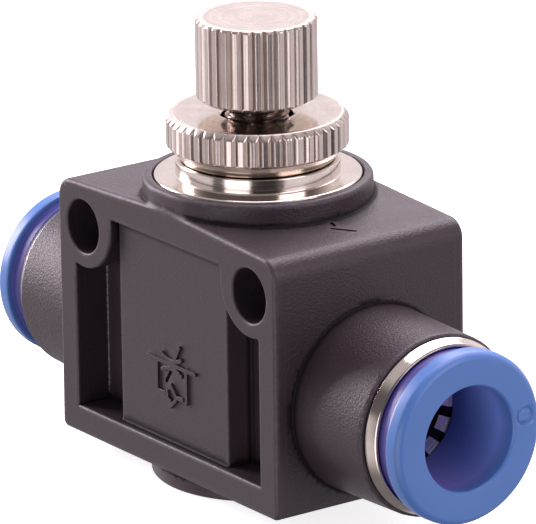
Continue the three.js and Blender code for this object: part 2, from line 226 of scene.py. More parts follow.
def level_set_mesh(name, distance, low, high, voxel, adaptivity):
    """A mesh of the surface where the distance is zero, its vertices moved onto the exact surface."""
    axes = [np.arange(a, b + voxel, voxel) for a, b in zip(low, high)]
    x, y, z = np.meshgrid(*axes, indexing="ij", sparse=True)
    band = 3 * voxel
    values = np.clip(distance(x, y, z), -band, band).astype(np.float32)
    grid = openvdb.FloatGrid(band)
    grid.copyFromArray(np.ascontiguousarray(values), tolerance=0.0)
    grid.gridClass = openvdb.GridClass.LEVEL_SET
    points, triangles, quads = grid.convertToPolygons(0.0, adaptivity)
    points = points.astype(np.float64) * voxel + np.array(low)
    for _ in range(2):
        slope = gradient(distance, points)
        size = np.maximum((slope**2).sum(1), 0.25)
        move = -(distance(*points.T) / size)[:, None] * slope
        points += np.clip(move, -voxel / 2, voxel / 2)
    mesh = bpy.data.meshes.new(name)
    faces = [tuple(f[::-1]) for f in triangles.tolist()] + [tuple(f[::-1]) for f in quads.tolist()]
    mesh.from_pydata((points * MM).tolist(), [], faces)
    mesh.validate()
    return mesh


def vertices_of(mesh):
    flat = np.zeros(len(mesh.vertices) * 3)
    mesh.vertices.foreach_get("co", flat)
    return flat.reshape(-1, 3) / MM


def exact_normals(mesh, distance, step_in=0.03, limit=24):
    """Corner normals from the distance's slope, read a little inside each face so that edges stay crisp.

    Where the slope strays from the face by more than the limit, in degrees, the face's own normal is kept.
    """
    points = vertices_of(mesh)
    corner_vertex = np.zeros(len(mesh.loops), np.int64)
    mesh.loops.foreach_get("vertex_index", corner_vertex)
    totals = np.zeros(len(mesh.polygons), np.int64)
    mesh.polygons.foreach_get("loop_total", totals)
    centres = np.zeros(len(mesh.polygons) * 3)
    mesh.polygons.foreach_get("center", centres)
    centres = np.repeat(centres.reshape(-1, 3) / MM, totals, axis=0)
    flat = np.zeros(len(mesh.polygons) * 3)
    mesh.polygons.foreach_get("normal", flat)
    flat = np.repeat(flat.reshape(-1, 3), totals, axis=0)
    at = points[corner_vertex]
    inward = centres - at
    reach = np.linalg.norm(inward, axis=1, keepdims=True)
    at = at + inward * np.minimum(0.25, step_in / np.maximum(reach, 1e-6))
    normals = unit(gradient(distance, at, 0.004))
    astray = (normals * flat).sum(1) < math.cos(math.radians(limit))
    normals = np.where(astray[:, None], flat, normals)
    mesh.shade_smooth()
    mesh.normals_split_custom_set(normals.tolist())


def mark_edges(mesh, distance, reach=0.12):
    """Stores how far each vertex stands on a convex edge and in a crease, from 0 to 1, for the material.

    The creases of the two pockets are stored apart as polish; the other creases become painted shade, and the
    panel's side walls, stored as wall, become painted light.
    """
    points = vertices_of(mesh)
    total = -6 * distance(*points.T)
    for axis in range(3):
        for side in (-reach, reach):
            shift = np.zeros(3)
            shift[axis] = side
            total = total + distance(*(points + shift).T)
    curvature = total / reach**2
    store(mesh, "edge", np.clip((curvature - 0.6) / 2.4, 0, 1))
    crease = np.clip((-curvature - 0.4) / 1.8, 0, 1)
    x, y, z = np.abs(points).T
    pocket = (x > PANEL_X + 1) & (x < RECESS_X + 0.5)
    pocket &= y > HALF_DEPTH - POCKET_DEPTH - 0.5
    pocket &= (z > RECESS_LOW + 0.5) & (z < EAR_Z - EAR_RADIUS)
    # crease: painted shade, darkened nearly to black in the material
    store(mesh, "crease", np.where(pocket, 0, crease))
    store(mesh, "polish", np.where(pocket, crease, 0))
    # wall: the panel's side walls, lightened in the material as painted light
    wall = np.abs(x - PANEL_X) < 0.2
    wall &= y < HALF_DEPTH - PANEL_DEPTH - 0.1
    wall &= (z > RECESS_LOW - 0.1) & (z < EAR_Z)
    store(mesh, "wall", wall.astype(float))


def store(mesh, name, values):
    attribute = mesh.attributes.get(name) or mesh.attributes.new(name, "FLOAT", "POINT")
    attribute.data.foreach_set("value", np.asarray(values, np.float32))


# ---- engraved marks ----
def arc(x, z, radius, start, end, count=8):
    angles = np.radians(np.linspace(start, end, count))
    return [(x + radius * math.cos(a), z + radius * math.sin(a)) for a in angles]


# Symbol for an adjustable restriction in parallel with a check valve: strokes on the panel, as x and
# height above the tubes' axis.
STROKE = 0.33
SYMBOL_DEPTH = 0.24
PANEL_FACE = -HALF_DEPTH + PANEL_DEPTH
SYMBOL = [
    [(-3.15, 0.5), (3.05, 0.5)],
    [(-2.0, 0.5), (-2.0, -2.0), (-1.0, -2.0)],
    [(1.88, 0.5), (1.88, -2.15)],
    [(0.55, -2.0), (1.36, -2.0)],
    [(-0.18, -1.2), (0.55, -2.0)],
    [(0.47, -2.26), (-0.3, -2.95)],
    [(-1.0, -1.05), (-0.42, -0.2)],
    [(0.38, 0.98), (1.0, 2.12)],
    arc(-0.05, -2.35, 2.55, 60, 120),
    arc(-0.05, 3.35, 2.55, 240, 300),
    arc(-0.22, -2.0, 0.47, 160, 262),
]

# Flow mark on the roof beside the collar: two short strokes, as x and y.
FLOW_MARK_DEPTH = 0.14
FLOW_MARK = [[(9.3, 0.12), (9.95, -0.08)], [(10.37, -0.59), (11.76, 0.53)]]


def strokes_distance(u, v, strokes):
    """Distance in a plane to the nearest of some strokes, each a run of points."""
    segments = [pair for stroke in strokes for pair in zip(stroke, stroke[1:])]
    return functools.reduce(np.minimum, [segment_distance(u, v, *pair) for pair in segments])


def symbol_distance(x, y, z):
    d = strokes_distance(x, z - PORT, SYMBOL)
    return rounded_overlap(d - STROKE / 2, np.abs(y - PANEL_FACE) - SYMBOL_DEPTH, 0.05)


def flow_mark_distance(x, y, z):
    d = strokes_distance(x, y, FLOW_MARK)
    roof = ROOF_RIDGE - ROOF_SLOPE * np.abs(x)
    return rounded_overlap(d - STROKE / 2, np.abs(z - roof) - FLOW_MARK_DEPTH, 0.04)


def marks_distance(x, y, z):
    return np.minimum(symbol_distance(x, y, z), flow_mark_distance(x, y, z))


def marked_body_distance(x, y, z):
    return np.maximum(body_distance(x, y, z), -marks_distance(x, y, z))


def cut_by(target, cutter):
    modifier = target.modifiers.new("engrave", "BOOLEAN")
    modifier.operation = "DIFFERENCE"
    modifier.solver = "EXACT"
    modifier.object = cutter
    graph = bpy.context.evaluated_depsgraph_get()
    made = bpy.data.meshes.new_from_object(target.evaluated_get(graph))
    target.modifiers.clear()
    old = target.data
    target.data = made
    bpy.data.meshes.remove(old)
    bpy.data.objects.remove(cutter)


def new_object(name, mesh):
    mesh.name = name
    piece = bpy.data.objects.new(name, mesh)
    bpy.context.scene.collection.objects.link(piece)
    return piece


def mark_cutter(name, distance, low, high):
    mesh = level_set_mesh(name, distance, np.array(low), np.array(high), MARK_VOXEL, 0.05)
    return new_object(name, mesh)


def build_body():
    margin = 0.5
    voxel = BODY_VOXEL
    low, high = BODY_LOW - margin, BODY_HIGH + margin
    mesh = level_set_mesh("moulded_body", body_distance, low, high, voxel, 0.015)
    piece = new_object("moulded_body", mesh)
    low, high = (-3.6, PANEL_FACE - 0.5, PORT - 3.4), (3.6, PANEL_FACE + 0.5, PORT + 2.6)
    cut_by(piece, mark_cutter("symbol_cutter", symbol_distance, low, high))
    roof = ROOF_RIDGE - ROOF_SLOPE * 10
    low, high = (8.9, -1.0, roof - 0.5), (12.2, 1.0, roof + 0.4)
    cut_by(piece, mark_cutter("flow_cutter", flow_mark_distance, low, high))
    exact_normals(piece.data, marked_body_distance)
    mark_edges(piece.data, marked_body_distance)
    return piece


# ---- turned and knurled pieces ----
def rounded_path(outline):
    """[radius, height, corner round] points of a closed outline, with each corner cut to an arc."""
    points = [np.array(p[:2], float) for p in outline]
    rounds = [p[2] if len(p) > 2 else 0.0 for p in outline]
    count = len(points)
    path, corner = [], []
    for i, here in enumerate(points):
        before, after = points[i - 1], points[(i + 1) % count]
        if rounds[i] <= 0:
            path.append(here)
            corner.append(0.0)
            continue
        u, v = before - here, after - here
        length_u, length_v = np.linalg.norm(u), np.linalg.norm(v)
        u, v = u / length_u, v / length_v
        bend = math.acos(float(np.clip(u @ v, -1, 1)))
        if bend > math.pi - 0.02:  # nearly straight, with nothing to round
            path.append(here)
            corner.append(0.0)
            continue
        back = min(rounds[i] / math.tan(bend / 2), 0.49 * length_u, 0.49 * length_v)
        radius = back * math.tan(bend / 2)
        middle = here + unit((u + v)[None])[0] * radius / math.sin(bend / 2)
        start, end = here + u * back - middle, here + v * back - middle
        a0, a1 = math.atan2(start[1], start[0]), math.atan2(end[1], end[0])
        turn = (a1 - a0 + math.pi) % TAU - math.pi
        steps = max(3, math.ceil(abs(turn) / math.radians(18)))
        for k in range(steps + 1):
            angle = a0 + turn * k / steps
            path.append(middle + radius * np.array([math.cos(angle), math.sin(angle)]))
            corner.append(1.0 if 0 < k < steps else 0.5)
    return np.array(path), np.array(corner)


def densified(path, corner, limit):
    """The closed path with long straight runs split so that no step is over the limit."""
    out, marks = [], []
    for i in range(len(path)):
        a, b = path[i], path[(i + 1) % len(path)]
        steps = max(1, math.ceil(np.linalg.norm(b - a) / limit))
        for k in range(steps):
            out.append(a + (b - a) * k / steps)
            marks.append(corner[i] if k == 0 else 0.0)
    return np.array(out), np.array(marks)


def signed_area(path):
    x, y = path.T
    return float((x * np.roll(y, -1) - np.roll(x, -1) * y).sum() / 2)


def turned(name, outline, segments=144, along="z", side=1, radius_at=None, limit=None):
    """A solid of revolution. radius_at(radius, height, angle) may reshape it, as for teeth and threads."""
    path, corner = rounded_path(outline)
    if limit:
        path, corner = densified(path, corner, limit)
    if signed_area(path) < 0:
        path, corner = path[::-1], corner[::-1]
    angles = np.arange(segments) * TAU / segments if np.isscalar(segments) else np.asarray(segments)
    n = len(angles)
    radius = np.repeat(path[:, :1], n, axis=1)
    height = np.repeat(path[:, 1:], n, axis=1)
    if radius_at:
        radius = radius_at(radius, height, angles[None, :])
    a, b = radius * np.cos(angles), radius * np.sin(angles)
    if along == "z":
        grid = np.stack([a, b, height], axis=2)
    else:
        grid = np.stack([side * height, a * side, b + PORT], axis=2)
    rows = len(path)
    on_axis = path[:, 0] < 1e-6
    index = np.arange(rows * n).reshape(rows, n)
    for i in np.nonzero(on_axis)[0]:
        index[i, :] = index[i, 0]
    faces = []
    for i in range(rows):
        k = (i + 1) % rows
        if on_axis[i] and on_axis[k]:
            continue
        for j in range(n):
            m = (j + 1) % n
            ring = [index[i, j], index[i, m], index[k, m], index[k, j]]
            if on_axis[i]:
                ring = [ring[0], ring[2], ring[3]]
            elif on_axis[k]:
                ring = [ring[0], ring[1], ring[2]]
            faces.append(tuple(int(v) for v in ring))
    mesh = bpy.data.meshes.new(name)
    mesh.from_pydata((grid.reshape(-1, 3) * MM).tolist(), [], faces)
    store(mesh, "edge", np.repeat(corner, n))
    if not mesh.validate():
        mesh.update()
    tidy_mesh(mesh)
    return finish_normals(new_object(name, mesh))


def finish_normals(piece):
    """Smooth shading that keeps real corners crisp."""
    piece.data.shade_smooth()
    piece.data.set_sharp_from_angle(angle=math.radians(38))
    weighted = piece.modifiers.new("normals", "WEIGHTED_NORMAL")
    weighted.keep_sharp = True
    return piece


def tidy_mesh(mesh):
    """Drops the vertices that no face uses, and turns the faces outwards."""
    bm = bmesh.new()
    bm.from_mesh(mesh)
    loose = [v for v in bm.verts if not v.link_faces]
    bmesh.ops.delete(bm, geom=loose, context="VERTS")
    bmesh.ops.recalc_face_normals(bm, faces=bm.faces)
    bm.to_mesh(mesh)
    bm.free()


def tooth_angles(teeth, phases):
    """Angles that fall on every crest, corner and valley of evenly spaced teeth."""
    return np.array([(i + p) * TAU / teeth for i in range(teeth) for p in phases])


# Where round one tooth of a knurl, from -0.5 to 0.5, its mesh has a row of vertices.
PHASES = [-0.5, -0.44, -0.36, -0.28, -0.23, -0.18, -0.09, 0.0, 0.09, 0.18, 0.23, 0.28, 0.36, 0.44]
LAND = 0.42  # share of each tooth that is crest


def knurl(teeth, crest, depth, low, high):
    """Straight knurling: rounded V valleys between crests, held inside the turned outline."""

    def reshape(radius, height, angle):
        phase = (angle * teeth / TAU + 0.5) % 1 - 0.5
        share = np.clip((np.abs(phase) - LAND / 2) / (0.5 - LAND / 2), 0, 1)
        share = share + 0.06 * np.cos(np.clip(np.abs(phase) / LAND, 0, 1) * math.pi)
        tooth = crest - depth * (0.12 * share**2 + 0.88 * share)
        inside = (height > low - 0.02) & (height < high + 0.02)
        return np.where(inside & (radius > crest - depth - 0.2), np.minimum(radius, tooth), radius)

    return reshape


def build_knob():
    teeth, crest, tooth_depth = 32, 4.7, 0.36
    blank, socket = crest + 0.02, 2.8
    socket_top = NEEDLE_TOP + 0.3
    outline = [
        (0, KNOB_TOP),
        (4.54, KNOB_TOP, 0.05),
        (blank, KNOB_TOP - 0.2, 0.06),
        (blank, KNOB_BOTTOM + 0.3, 0.12),
        (4.3, KNOB_BOTTOM, 0.08),
        (socket, KNOB_BOTTOM, 0.15),
        (socket, socket_top),
        (0, socket_top),
    ]
    teeth_at = knurl(teeth, crest, tooth_depth, KNOB_BOTTOM, KNOB_TOP)
    return turned("knob_knurled", outline, tooth_angles(teeth, PHASES), radius_at=teeth_at, limit=0.35)


BOSS_TOP = PORT + 15.68  # the nut stands a hair above it
NUT_BOTTOM = PORT + 15.74


def build_nut():
    knurl_low = PORT + 16.6
    teeth, crest, tooth_depth = 47, 7.06, 0.33
    blank, bore = crest + 0.02, 2.8
    outline = [
        (bore, NUT_BOTTOM),
        (6.0, NUT_BOTTOM, 0.1),
        (6.62, knurl_low + 0.02, 0.1),
        (blank, knurl_low + 0.3, 0.1),
        (blank, NUT_TOP - 0.5, 0.12),
        (6.66, NUT_TOP, 0.1),
        (bore + 0.3, NUT_TOP, 0.1),
        (bore, NUT_TOP - 0.3),
    ]
    teeth_at = knurl(teeth, crest, tooth_depth, knurl_low, NUT_TOP)
    return turned("nut_knurled", outline, tooth_angles(teeth, PHASES), radius_at=teeth_at, limit=0.3)


def build_bonnet():
    barrel, groove, flange, bore, thread = 5.9, 4.9, 8.05, 3.2, 2.8  # radii
    groove_low, groove_high = PORT + 7.2, PORT + 9.2
    flange_low, flange_top = PORT + 12.7, PORT + 14.5
    thread_low = PORT + 11.8
    outline = [
        (bore, BONNET_BOTTOM, 0.1),
        (barrel, BONNET_BOTTOM, 0.15),
        (barrel, groove_low, 0.05),
        (groove, groove_low, 0.15),
        (groove, groove_high, 0.15),
        (barrel, groove_high, 0.05),
        (barrel, flange_low, 0.1),
        (flange, flange_low, 0.15),
        (flange, flange_top, 0.2),
        (6.36, flange_top, 0.12),
        (6.38, BOSS_TOP, 0.1),
        (thread, BOSS_TOP, 0.1),
        (thread, thread_low),
        (bore, thread_low),
    ]
    return turned("bonnet_turned", outline, 192)


def build_needle():
    land, groove, stem = 3.1, 2.3, 2.5  # radii
    groove_low, groove_high = PORT + 6.0, PORT + 7.5
    thread_low, thread_high, pitch, depth = PORT + 12.0, NEEDLE_TOP - 0.4, 0.5, 0.27
    outline = [
        (0, NEEDLE_TIP),
        (0.5, NEEDLE_TIP, 0.1),
        (1.65, PORT + 3.2),
        (land, PORT + 5.2, 0.2),
        (land, groove_low, 0.05),
        (groove, groove_low, 0.1),
        (groove, groove_high, 0.1),
        (land, groove_high, 0.05),
        (land, PORT + 8.2, 0.15),
        (stem, PORT + 8.8),
        (stem, NEEDLE_TOP - 0.3),
        (2.2, NEEDLE_TOP),
        (0, NEEDLE_TOP),
    ]

    def thread(radius, height, angle):
        phase = ((height - thread_low) / pitch - angle / TAU) % 1
        rise = np.clip(np.abs(phase - 0.5) * 2 * 1.15, 0, 1)
        run = np.clip(np.minimum(height - thread_low, thread_high - height) / 0.4, 0, 1)
        return np.where(np.abs(radius - stem) < 0.05, radius - depth * rise * run, radius)

    return turned("needle_threaded", outline, 64, radius_at=thread, limit=0.07)


def build_guide(side):
    outline = [
        (6.92, 22.9, 0.06),
        (6.86, 23.0, 0.1),
        (6.62, 23.74, 0.06),
        (6.5, 23.85, 0.05),
        (6.36, 23.85, 0.05),
        (6.36, 23.1, 0.05),
        (5.05, 23.1, 0.1),
        (5.05, 21.0, 0.1),
        (5.3, 21.0, 0.05),
        (5.3, 17.3),
        (5.6, 17.3),
        (5.6, 22.6, 0.05),
        (6.45, 22.6, 0.05),
        (6.45, 22.9, 0.05),
    ]
    return turned("guide_turned", outline, 176, "x", side)


def ring_mark(side):
    """The cutter for a small plain ring sunk in the release ring's face."""
    y, lift, radius, section = 5.1, 0.8, 0.66, 0.09
    around, across = 48, 12
    verts, faces = [], []
    for i in range(around):
        a = i * TAU / around
        for j in range(across):
            b = j * TAU / across
            r = radius + section * math.cos(b)
            x = RING_FACE + section * math.sin(b)
            place_mm = (side * x, y * side + r * math.cos(a), PORT + lift + r * math.sin(a))
            verts.append(tuple(v * MM for v in place_mm))
            k, m = (i + 1) % around, (j + 1) % across
            faces.append((i * across + j, k * across + j, k * across + m, i * across + m))
    mesh = bpy.data.meshes.new("ring_mark")
    mesh.from_pydata(verts, [], faces)
    tidy_mesh(mesh)
    return new_object("ring_mark", mesh)


def build_release(side):
    outline = [
        (4.1, 19.15, 0.1),
        (4.6, 19.15, 0.12),
        (5.12, 19.9, 0.1),
        (5.12, 20.2, 0.05),
        (4.9, 20.5),
        (4.9, 23.75, 0.1),
        (6.28, 23.75, 0.1),
        (6.26, 25.2, 0.06),
        (6.74, 25.2, 0.1),
        (6.76, 25.45, 0.2),
        (6.73, 26.3, 0.35),
        (6.4, RING_FACE, 0.5),
        (4.24, RING_FACE, 0.12),
        (4.1, RING_FACE - 0.18, 0.12),
    ]
    piece = turned("release_moulded", outline, 176, "x", side)
    cut_by(piece, ring_mark(side))
    return finish_normals(piece)


def build_grip(side):
    """A dished washer of spring steel whose inner edge is cut into teeth that lean into the port."""
    teeth, rim, root, tip, front, thick = 14, 5.2, 4.72, 3.96, 18.62, 0.32
    lean = root - tip
    phases = [-0.5, -0.31, -0.3, -0.27, -0.14, 0.0, 0.14, 0.27, 0.3, 0.31]
    tooth_edge = 0.305  # beyond this phase there is a gap between teeth
    profile = [  # radius and how far it stands forward, from the rim inwards
        (rim, 0),
        (root + 0.1, 0),
        (root, -0.02),
        (root - 0.25, -0.25),
        (tip + 0.2, -lean + 0.2),
        (tip, -lean),
    ]
    solid_rows = 2
    angles = tooth_angles(teeth, phases)
    is_tooth = [abs(p) < tooth_edge for _ in range(teeth) for p in phases]
    count, n = len(profile), len(angles)
    verts, faces = [], []
    for layer in (0, 1):
        for radius, lift in profile:
            for a in angles:
                x = front + lift - thick * layer
                place_mm = (side * x, side * radius * math.cos(a), PORT + radius * math.sin(a))
                verts.append(tuple(v * MM for v in place_mm))

    def kept(row, j):
        """Whether there is metal between this row and the next, from angle j to the next angle."""
        return row < solid_rows or (is_tooth[j % n] and is_tooth[(j + 1) % n])

    def quad(*corners):
        faces.append(tuple((layer * count + row) * n + j % n for layer, row, j in corners))

    for row in range(count - 1):
        after = row + 1
        for j in range(n):
            if not kept(row, j):
                continue
            k = j + 1
            quad((0, row, j), (0, row, k), (0, after, k), (0, after, j))
            quad((1, row, j), (1, after, j), (1, after, k), (1, row, k))
            if row == 0:
                quad((0, row, j), (1, row, j), (1, row, k), (0, row, k))
            if after == count - 1 or not kept(after, j):
                quad((0, after, j), (0, after, k), (1, after, k), (1, after, j))
            if not kept(row, j - 1):
                quad((0, row, j), (0, after, j), (1, after, j), (1, row, j))
            if not kept(row, k):
                quad((0, row, k), (1, row, k), (1, after, k), (0, after, k))
    mesh = bpy.data.meshes.new("grip_teeth")
    mesh.from_pydata(verts, [], faces)
    tidy_mesh(mesh)
    store(mesh, "edge", np.zeros(len(mesh.vertices)))
    mesh.shade_smooth()
    mesh.set_sharp_from_angle(angle=math.radians(35))
    piece = new_object("grip_teeth", mesh)
    bevel = piece.modifiers.new("edges", "BEVEL")
    bevel.width = 0.04 * MM
    bevel.segments = 2
    bevel.limit_method = "ANGLE"
    bevel.angle_limit = math.radians(50)
    bevel.harden_normals = True
    return piece


def build_collet(side):
    outline = [
        (5.1, 16.3, 0.1),
        (5.1, 17.9, 0.1),
        (4.9, 17.9, 0.08),
        (4.2, 16.8, 0.15),
        (4.2, 16.3, 0.08),
    ]
    return turned("collet_moulded", outline, 128, "x", side)


def build_tube_seal(side):
    outline = [
        (4.15, 12.3, 0.06),
        (3.95, 12.8, 0.1),
        (4.1, 16.0, 0.15),
        (5.2, 16.0, 0.15),
        (5.2, 12.3, 0.06),
        (4.85, 12.3, 0.05),
        (4.75, 13.9, 0.15),
        (4.45, 13.9, 0.15),
        (4.35, 12.3, 0.05),
    ]
    return turned("tube_packing", outline, 128, "x", side)


def build_o_ring(name, inner, outer, height, steps=24):
    section = (outer - inner) / 2
    centre = (outer + inner) / 2
    angles = np.arange(steps) * TAU / steps
    points = [(centre + section * math.cos(a), height + section * math.sin(a)) for a in angles]
    return turned(name, points, 96)


def build_seat():
    orifice, waist, rim = 1.8, 3.2, 4.7  # radii
    outline = [
        (orifice, PORT - 0.7, 0.1),
        (rim, PORT - 0.7, 0.1),
        (rim, PORT - 0.3, 0.05),
        (waist, PORT - 0.3, 0.1),
        (waist, PORT + 0.9, 0.1),
        (rim, PORT + 0.9, 0.05),
        (rim, PORT + 1.4, 0.1),
        (orifice, PORT + 1.4, 0.15),
    ]
    return turned("seat_turned", outline, 96)


def build_check_seal():
    outline = [
        (3.4, PORT - 0.1, 0.05),
        (4.1, PORT - 0.1, 0.1),
        (4.95, PORT + 0.7, 0.03),
        (4.65, PORT + 0.7, 0.03),
        (3.8, PORT + 0.2, 0.1),
        (3.7, PORT + 0.6, 0.05),
        (3.4, PORT + 0.6, 0.05),
    ]
    return turned("check_lip", outline, 96)


# ---- materials ----
class Nodes:
    """Short calls for building one material's node graph."""

    def __init__(self, name):
        self.material = bpy.data.materials.new(name)
        self.material.use_nodes = True
        self.tree = self.material.node_tree
        self.shader = self.tree.nodes["Principled BSDF"]
        self.place = self.tree.nodes.new("ShaderNodeTexCoord").outputs["Object"]

    def link(self, source, target):
        self.tree.links.new(source, target)

    def put(self, value, socket):
        if isinstance(value, bpy.types.NodeSocket):
            self.link(value, socket)
        else:
            socket.default_value = value

    def math(self, operation, a, b=0.0, clamp=False):
        node = self.tree.nodes.new("ShaderNodeMath")
        node.operation = operation
        node.use_clamp = clamp
        self.put(a, node.inputs[0])
        self.put(b, node.inputs[1])
        return node.outputs[0]

    def axes(self):
        node = self.tree.nodes.new("ShaderNodeSeparateXYZ")
        self.link(self.place, node.inputs[0])
        return node.outputs

    def radius(self, a, b):
        return self.math("SQRT", self.math("ADD", self.math("MULTIPLY", a, a), self.math("MULTIPLY", b, b)))

    def vector(self, x, y, z):
        node = self.tree.nodes.new("ShaderNodeCombineXYZ")
        for value, socket in zip((x, y, z), node.inputs):
            self.put(value, socket)
        return node.outputs[0]

    def noise(self, per_mm, detail=3.0, rough=0.5, at=None, stretch=(1, 1, 1)):
        mapping = self.tree.nodes.new("ShaderNodeMapping")
        mapping.inputs["Scale"].default_value = [per_mm * 1000 * s for s in stretch]
        self.link(at or self.place, mapping.inputs["Vector"])
        node = self.tree.nodes.new("ShaderNodeTexNoise")
        node.inputs["Scale"].default_value = 1.0
        node.inputs["Detail"].default_value = detail
        node.inputs["Roughness"].default_value = rough
        self.link(mapping.outputs[0], node.inputs["Vector"])
        return node.outputs["Fac"]

    def cells(self, per_mm):
        mapping = self.tree.nodes.new("ShaderNodeMapping")
        mapping.inputs["Scale"].default_value = [per_mm * 1000] * 3
        self.link(self.place, mapping.inputs["Vector"])
        node = self.tree.nodes.new("ShaderNodeTexVoronoi")
        node.feature = "SMOOTH_F1"
        node.inputs["Smoothness"].default_value = 0.6
        node.inputs["Scale"].default_value = 1.0
        self.link(mapping.outputs[0], node.inputs["Vector"])
        return node.outputs["Distance"]

    def remap(self, value, low, high, to_low, to_high):
        node = self.tree.nodes.new("ShaderNodeMapRange")
        for socket, number in zip(list(node.inputs)[1:5], (low, high, to_low, to_high)):
            socket.default_value = number
        self.link(value, node.inputs[0])
        return node.outputs[0]

    def blend(self, share, a, b):
        node = self.tree.nodes.new("ShaderNodeMix")
        node.data_type = "RGBA"
        self.put(share, node.inputs["Factor"])
        colours = [s for s in node.inputs if s.type == "RGBA"]
        for value, socket in zip((a, b), colours):
            self.put(value if isinstance(value, bpy.types.NodeSocket) else (*value, 1), socket)
        return [s for s in node.outputs if s.type == "RGBA"][0]

    def attribute(self, name):
        node = self.tree.nodes.new("ShaderNodeAttribute")
        node.attribute_name = name
        return node.outputs["Fac"]

    def bump(self, height, micron, under=None):
        node = self.tree.nodes.new("ShaderNodeBump")
        node.inputs["Strength"].default_value = 1.0
        node.inputs["Distance"].default_value = micron * 1e-6
        self.link(height, node.inputs["Height"])
        if under is not None:
            self.link(under, node.inputs["Normal"])
        return node.outputs[0]

    def finish(self, color, roughness, normal, **plain):
        self.link(color, self.shader.inputs["Base Color"])
        self.put(roughness, self.shader.inputs["Roughness"])
        if normal is not None:
            self.link(normal, self.shader.inputs["Normal"])
        for name, value in plain.items():
            self.shader.inputs[name.replace("_", " ")].default_value = value
        return self.material


def black_plastic():
    """Moulded plastic with a fine grain, a little lighter on its worn edges, with painted shade in its
    creases and painted light on the panel's side walls.
    """
    n = Nodes("black_plastic")
    dark, light = (0.025, 0.0158, 0.0215), (0.035, 0.024, 0.032)
    cloud = n.noise(0.18, 3, 0.55)
    grain = n.noise(6.5, 3, 0.6)
    spark = n.cells(5.6)
    edge = n.attribute("edge")
    worn = n.math("MULTIPLY", edge, n.remap(n.noise(1.6, 4, 0.65), 0.35, 0.7, 0.25, 1.0))
    base = n.blend(cloud, dark, light)
    speck = n.remap(n.noise(3.2, 2, 0.5), 0.68, 0.8, 0.0, 0.5)
    base = n.blend(speck, base, (0.06, 0.05, 0.058))
    base = n.blend(n.math("MULTIPLY", worn, 0.55), base, (0.10, 0.085, 0.10))
    # Painted light: the panel's side walls are lifted to a lighter colour.
    base = n.blend(n.attribute("wall"), base, (0.062, 0.044, 0.052))
    # Painted shade: the creases are darkened nearly to black and their highlights dimmed.
    crease = n.attribute("crease")
    base = n.blend(n.math("MULTIPLY", crease, 0.8), base, (0.006, 0.005, 0.006))
    specular = n.math("SUBTRACT", 0.5, n.math("MULTIPLY", crease, 0.42))
    n.link(specular, n.shader.inputs["Specular IOR Level"])
    roughness = n.remap(grain, 0.3, 0.7, 0.40, 0.52)
    roughness = n.math("ADD", roughness, n.remap(cloud, 0.3, 0.7, -0.03, 0.04))
    wave = n.bump(n.noise(0.35, 2, 0.4), 14)
    # The front and back faces and the panels are smoother than the rest.
    _, y, _ = n.axes()
    smooth_from, smooth_to = (HALF_DEPTH - 0.95) * MM, (HALF_DEPTH - 0.8) * MM
    coarse = n.remap(n.math("ABSOLUTE", y), smooth_from, smooth_to, 1.0, 0.35)
    skin = n.bump(n.math("MULTIPLY", n.math("ADD", spark, grain), coarse), 24, wave)
    roughness = n.math("SUBTRACT", roughness, n.math("MULTIPLY", n.attribute("polish"), 0.25))
    return n.finish(base, roughness, skin)


def turned_metal(name, dark, light, along, low, high, micron=2.0, coarse=6.0, rim=None):
    """Metal with fine marks left by the lathe, which run round its axis.

    low and high bound the roughness, and beyond a radius of rim, in millimetres, the metal is duller.
    """
    n = Nodes(name)
    x, y, z = n.axes()
    if along == "z":
        radius, height = n.radius(x, y), z
    else:
        radius, height = n.radius(n.math("SUBTRACT", z, PORT * MM), y), x
    section = n.vector(radius, height, 0.0)
    marks = n.noise(coarse, 4, 0.65, at=section)
    cloud = n.noise(0.6, 3, 0.5)
    spots = n.noise(4.0, 3, 0.6)
    tone = n.math("ADD", n.math("MULTIPLY", marks, 0.45), n.math("MULTIPLY", cloud, 0.55))
    base = n.blend(n.remap(tone, 0.3, 0.7, 0.0, 1.0), dark, light)
    base = n.blend(n.remap(spots, 0.62, 0.8, 0.0, 0.3), base, dark)
    roughness = n.remap(marks, 0.3, 0.7, low, high)
    roughness = n.math("ADD", roughness, n.remap(spots, 0.55, 0.8, 0.0, 0.08))
    if rim:
        start, end = (rim - 0.15) * MM, rim * MM
        base = n.blend(n.remap(radius, start, end, 0.0, 0.45), base, (0.36, 0.31, 0.285))
        roughness = n.math("ADD", roughness, n.remap(radius, start, end, 0.0, 0.17))
    normal = n.bump(marks, micron, n.bump(n.noise(1.2, 3, 0.5), 1.5))
    return n.finish(base, roughness, normal, Metallic=1.0)


